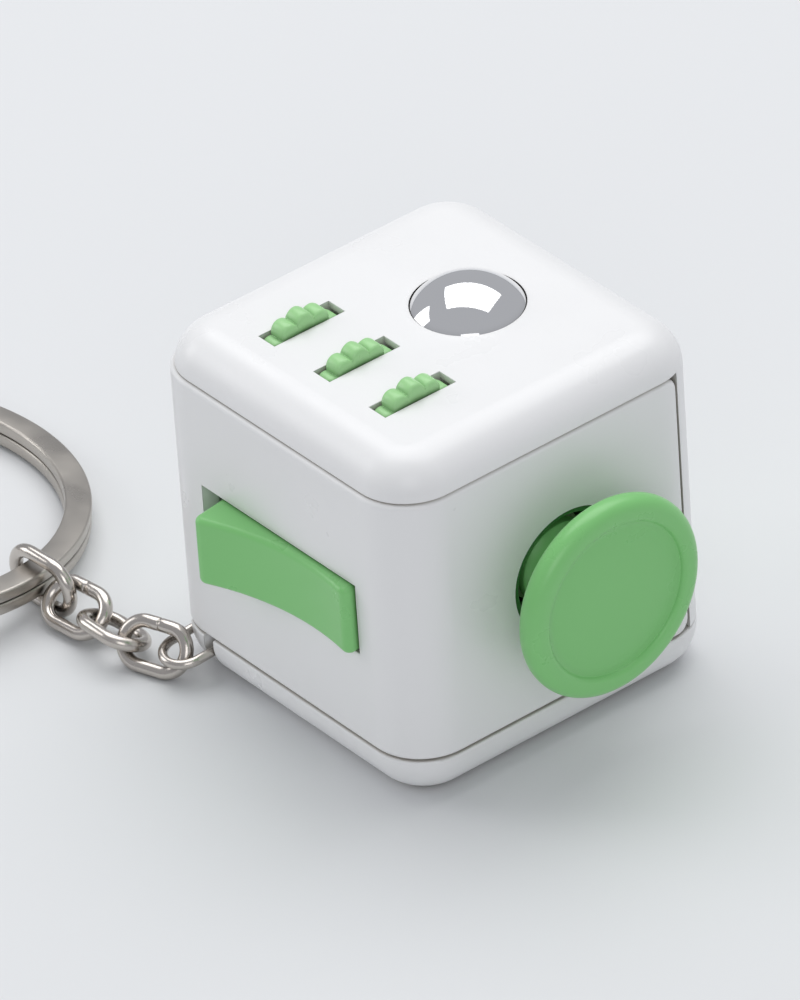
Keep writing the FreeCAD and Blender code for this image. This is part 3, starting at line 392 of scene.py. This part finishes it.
def tube(path, radius, segments=24):
    """rings of points round a closed flat path"""
    rings = []
    count = len(path)
    for i, point in enumerate(path):
        along = (path[(i + 1) % count] - path[i - 1]).normalized()
        across = along.cross(Vector((0.0, 0.0, 1.0)))
        rings.append([point + radius * (across * math.cos(2 * math.pi * k / segments)
                                       + Vector((0.0, 0.0, 1.0)) * math.sin(2 * math.pi * k / segments))
                      for k in range(segments)])
    return rings


def chain_link(node, heading, roll, end_radius):
    """oval of round wire; the wire's butt joint shows as a fine groove in one straight"""
    turn = Matrix.Rotation(math.radians(heading), 3, "Z") @ Matrix.Rotation(math.radians(roll), 3, "X")
    centre = middle_of(node)
    path = oval_path(end_radius)
    butt = len(path) - 1
    straight = [path[butt].lerp(path[0], part) for part in (0.2, 0.44, 0.47, 0.5, 0.53, 0.56, 0.8)]
    path = path + straight
    rings = tube(path, LINK_WIRE)
    first = butt + 1
    for offset, shrink in ((2, 0.97), (3, 0.86), (4, 0.97)):
        middle = path[first + offset]
        rings[first + offset] = [middle + (point - middle) * shrink for point in rings[first + offset]]
    rings = [[centre + turn @ (point * MM) for point in ring] for ring in rings]
    points, faces = bridge(rings, join_ends=True)
    number = node[-1]
    mesh_piece("Chain_link_" + number, points, faces, NICKEL, "link_" + number, [node])


RING_RADIUS = 15.2
RING_WIDTH = 1.75
RING_HEIGHT = 1.8
RING_LEAN = -7.0
RING_STEP_AT = 205.0
RING_STEP_OVER = 26.0


def split_ring():
    """two flat coils of one strip; the strip steps from the lower coil to the upper one"""
    centre = middle_of("split_ring")
    turn = Matrix.Rotation(math.radians(RING_LEAN), 3, "X")
    half_strip = RING_HEIGHT / 4 - 0.03
    half_width = RING_WIDTH / 2
    round_off = 0.16
    outline = []
    for cx, cz, start in ((1, 1, 0), (-1, 1, 90), (-1, -1, 180), (1, -1, 270)):
        outline += corner((cx * (half_width - round_off), cz * (half_strip - round_off)), round_off,
                          start, start + 90, 4)
    rings = []
    steps = 440
    for i in range(steps + 1):
        swept = 720.0 * i / steps
        part = min(1.0, max(0.0, (swept - 360.0 + RING_STEP_OVER / 2) / RING_STEP_OVER))
        rise = (part * part * (3 - 2 * part) - 0.5) * RING_HEIGHT / 2
        angle = math.radians(RING_STEP_AT + swept * (720.0 - RING_STEP_OVER - 2.0) / 720.0)
        middle_radius = RING_RADIUS - half_width
        ring = []
        for x, z in outline:
            reach = middle_radius + x
            point = Vector((reach * math.cos(angle), reach * math.sin(angle), rise + z))
            ring.append(centre + turn @ (point * MM))
        rings.append(ring)
    points, faces = bridge(rings, cap_ends=True)
    mesh_piece("Split_ring", points, faces, RING_STEEL, "ring", ["split_ring"])


# ---------------------------------------------------------------- stage

CAMERA_HEADING = math.radians(53.02)
CAMERA_HEIGHT = math.radians(34.63)
CAMERA_ROLL = math.radians(4.07)
CAMERA_LENS = 432.0
CAMERA_SENSOR = 36.0
CAMERA_OFFSET = Vector((2.189, -0.485, 756.41)) * MM


def camera():
    """long lens looking down at the corner between the joystick and rocker faces"""
    back = Vector((math.sin(CAMERA_HEADING) * math.cos(CAMERA_HEIGHT),
                   -math.cos(CAMERA_HEADING) * math.cos(CAMERA_HEIGHT), math.sin(CAMERA_HEIGHT)))
    level = Vector((math.cos(CAMERA_HEADING), math.sin(CAMERA_HEADING), 0.0))
    down = (-back).cross(level)
    right = level * math.cos(CAMERA_ROLL) + down * math.sin(CAMERA_ROLL)
    below = down * math.cos(CAMERA_ROLL) - level * math.sin(CAMERA_ROLL)
    place = CUBE_MIDDLE - right * CAMERA_OFFSET.x - below * CAMERA_OFFSET.y + back * CAMERA_OFFSET.z
    data = bpy.data.cameras.new("Camera")
    data.lens = CAMERA_LENS
    data.sensor_width = CAMERA_SENSOR
    data.clip_start = 0.01
    data.clip_end = 10.0
    view = bpy.data.objects.new("Camera", data)
    axes = Matrix((right, -below, back)).transposed().to_4x4()
    view.matrix_world = Matrix.Translation(place) @ axes
    bpy.context.scene.collection.objects.link(view)
    bpy.context.scene.camera = view


def softbox(name, place, target, width, height, power):
    data = bpy.data.lights.new(name, "AREA")
    data.shape = "RECTANGLE"
    data.size = width
    data.size_y = height
    data.energy = power
    lamp = bpy.data.objects.new(name, data)
    lamp.location = place
    lamp.rotation_euler = (Vector(target) - Vector(place)).to_track_quat("-Z", "Y").to_euler()
    bpy.context.scene.collection.objects.link(lamp)


def studio():
    """pale floor, a bright room and three softboxes"""
    bpy.ops.mesh.primitive_plane_add(size=6.0, location=(0.0, 0.0, 0.0))
    floor = bpy.context.object
    floor.name = "Floor"
    paper = Finish("Floor_paper", (0.74, 0.75, 0.76), 0.6)
    paper.uneven_roughness(30.0, 0.55, 0.7)
    floor.data.materials.append(paper.material)
    world = bpy.data.worlds.new("Room")
    bpy.context.scene.world = world
    world.use_nodes = True
    room = world.node_tree.nodes["Background"]
    room.inputs["Color"].default_value = (0.93, 0.95, 1.0, 1.0)
    room.inputs["Strength"].default_value = 0.46
    softbox("Key_box", (-0.14, 0.16, 0.50), (0, 0, 0.01), 0.62, 0.46, 2.1)
    softbox("Front_box", (0.40, -0.30, 0.34), (0, 0, 0.012), 0.30, 0.30, 0.45)
    softbox("Side_box", (-0.42, -0.28, 0.22), (0, 0, 0.01), 0.22, 0.26, 0.4)
    bpy.context.scene.view_settings.view_transform = "Standard"


dress_packed_nodes()
joystick_cap()
for wheel_side in ("left", "middle", "right"):
    wheel(wheel_side)
roll_ball()
for link_node, (link_heading, link_roll, link_end) in LINKS.items():
    chain_link(link_node, link_heading, link_roll, link_end)
split_ring()
studio()
camera()
